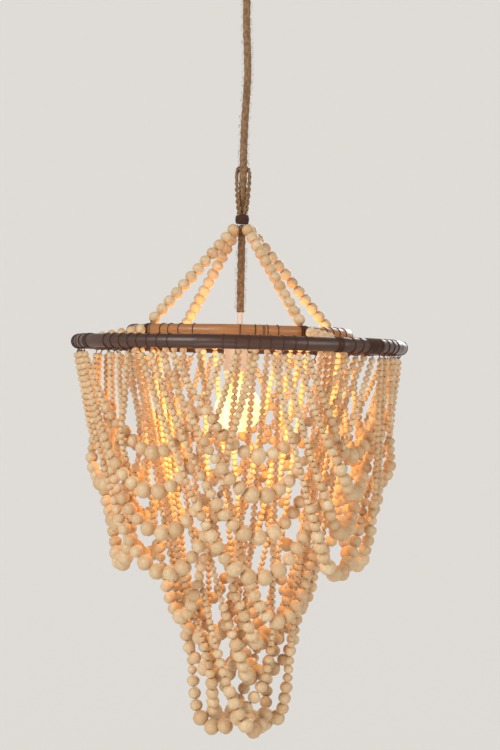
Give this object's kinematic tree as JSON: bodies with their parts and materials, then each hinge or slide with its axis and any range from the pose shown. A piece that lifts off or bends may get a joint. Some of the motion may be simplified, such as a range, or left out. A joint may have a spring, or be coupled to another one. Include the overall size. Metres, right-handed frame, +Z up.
{
  "type": "beaded chandelier",
  "caption": "Boho chandelier of wooden bead strings: two cane hoops hung from a jute flex, nested bead swags in two tiers round a bare lamp, with ceiling canopy.",
  "frame": {"origin": "middle of the ceiling bracket's top face, where it meets the ceiling", "axes": "+Z up towards the ceiling, -Y towards the picture's camera, +X to its right"},
  "size_m": [0.4292, 0.4292, 1.0275],
  "materials": {
    "steel": "zinc-plated, dull",
    "paint": "satin",
    "brass": "satin",
    "plastic": "matt",
    "sheath": "smooth",
    "rubber": "matt",
    "jute": "hairy twisted jute",
    "thread": "waxed thread windings",
    "dark_cane": "dark polished cane",
    "pale_cane": "smooth pale cane",
    "wood": "turned, unvarnished",
    "glass": "clear, blown"
  },
  "bodies": {
    "ceiling_fitting": {"ceiling_bracket": "steel", "canopy": "paint", "canopy_screw_left": "brass", "canopy_screw_right": "brass", "terminal_block": "plastic", "cord_grip": "plastic", "flex_tail": "sheath"},
    "relief": {"strain_relief": "rubber"},
    "hanging_flex": {"flex_upper": "jute"},
    "cage": {"hanging_loop": "jute", "crown_binding": "thread", "outer_hoop": "dark_cane", "inner_hoop": "pale_cane", "hanger_string_1": "wood", "spoke_string_1": "wood", "hanger_string_2": "wood", "spoke_string_2": "wood", "hanger_string_3": "wood", "spoke_string_3": "wood", "hanger_string_4": "wood", "spoke_string_4": "wood", "outer_swags_1_upper": "wood", "outer_swags_1_lower": "wood", "outer_swags_2_upper": "wood", "outer_swags_2_lower": "wood", "outer_swags_3_upper": "wood", "outer_swags_3_lower": "wood", "outer_swags_4_upper": "wood", "outer_swags_4_lower": "wood", "outer_swags_5_upper": "wood", "outer_swags_5_lower": "wood", "outer_swags_6_upper": "wood", "outer_swags_6_lower": "wood", "outer_swags_7_upper": "wood", "outer_swags_7_lower": "wood", "outer_swags_8_upper": "wood", "outer_swags_8_lower": "wood", "inner_swag_1_1": "wood", "inner_swag_1_2": "wood", "inner_swag_1_3": "wood", "inner_swag_1_4": "wood", "inner_swag_2_1": "wood", "inner_swag_2_2": "wood", "inner_swag_2_3": "wood", "inner_swag_2_4": "wood", "inner_swag_3_1": "wood", "inner_swag_3_2": "wood", "inner_swag_3_3": "wood", "inner_swag_3_4": "wood", "inner_swag_4_1": "wood", "inner_swag_4_2": "wood", "inner_swag_4_3": "wood", "inner_swag_4_4": "wood"},
    "lamp_flex": {"flex_lower": "jute"},
    "lamp": {"lampholder_cap": "plastic", "lampholder_shell": "plastic", "lampholder_insert": "brass"},
    "bulb": {"bulb_cap": "steel", "bulb_glass": "glass", "bulb_stem": "glass"}
  },
  "joints": [
    {"name": "swing_side", "type": "hinge", "parent": "ceiling_fitting", "child": "relief", "pos_m": [0, 0, -0.0502], "axis": [0, 1, 0], "range_deg": [-8, 8]},
    {"name": "swing_fore", "type": "hinge", "parent": "relief", "child": "hanging_flex", "pos_m": [0, 0, -0.0806], "axis": [1, 0, 0], "range_deg": [-8, 8]},
    {"name": "cage_twist", "type": "hinge", "parent": "hanging_flex", "child": "cage", "pos_m": [0, 0, -0.369], "axis": [0, 0, 1], "range_deg": [-180, 180], "stiffness_Nm_per_rad": 0.01},
    {"name": "lamp_swing_side", "type": "hinge", "parent": "cage", "child": "lamp_flex", "pos_m": [0, 0, -0.3758], "axis": [0, 1, 0], "range_deg": [-7, 7]},
    {"name": "lamp_swing_fore", "type": "hinge", "parent": "lamp_flex", "child": "lamp", "pos_m": [0, 0, -0.506], "axis": [1, 0, 0], "range_deg": [-7, 7]},
    {"name": "bulb_turn", "type": "hinge", "parent": "lamp", "child": "bulb", "pos_m": [0, 0, -0.547], "axis": [0, 0, -1], "range_deg": [0, 360]}
  ]
}
